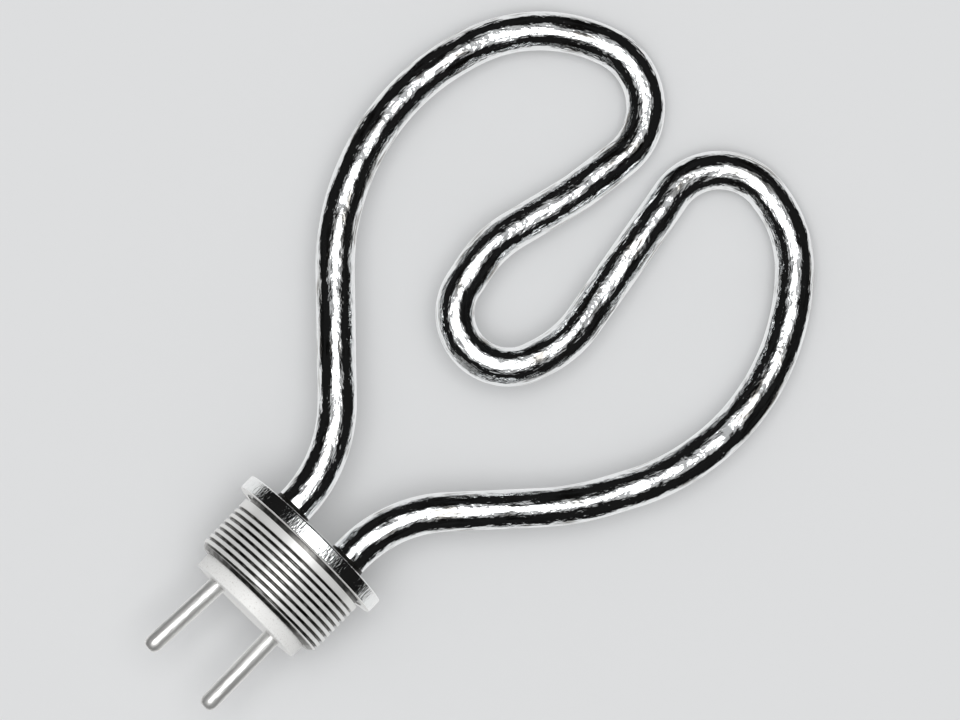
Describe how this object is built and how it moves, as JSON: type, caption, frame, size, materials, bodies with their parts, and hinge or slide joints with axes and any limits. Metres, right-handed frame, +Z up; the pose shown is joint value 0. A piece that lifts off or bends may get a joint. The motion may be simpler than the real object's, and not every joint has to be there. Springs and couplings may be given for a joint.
{
  "type": "tubular heating element",
  "caption": "Metal-sheathed tubular heating element bent into a flat heart-shaped loop, brazed into a flanged screw plug with round contact pins.",
  "frame": {"origin": "on the screw plug's axis, in the plane of the flange's sealing face", "axes": "+Z up from the surface that the part lies on, +Y level from the contact pins towards the loop, +X across the loop; the plug's axis dips 6.9 degrees below +Y, because the part lies on the flange's rim and on the far ends of the loop"},
  "size_m": [0.1086, 0.167, 0.038],
  "materials": {
    "plated_brass": "turned and plated bright",
    "plated_sheath": "drawn, bent and plated bright, with fine streaks and pits",
    "nichrome": "oxidised resistance wire",
    "magnesia": "powder, pressed hard",
    "terminal_steel": "drawn",
    "silicone_seal": "matt",
    "steatite": "pressed and fired, not glazed",
    "braze": "dull, plated over",
    "cement": "rough",
    "plated_pin": "turned and plated, worn"
  },
  "bodies": {
    "root": {"screw_plug": "plated_brass", "sheath_tube": "plated_sheath", "resistance_coil": "nichrome", "magnesia_fill": "magnesia", "terminal_rod_left": "terminal_steel", "terminal_rod_right": "terminal_steel", "end_seal_left": "silicone_seal", "end_seal_right": "silicone_seal", "end_bush_left": "steatite", "end_bush_right": "steatite", "braze_ring_left": "braze", "braze_ring_right": "braze", "sealing_cement": "cement", "terminal_insulator": "steatite", "contact_pin_left": "plated_pin", "contact_pin_right": "plated_pin"}
  },
  "joints": []
}
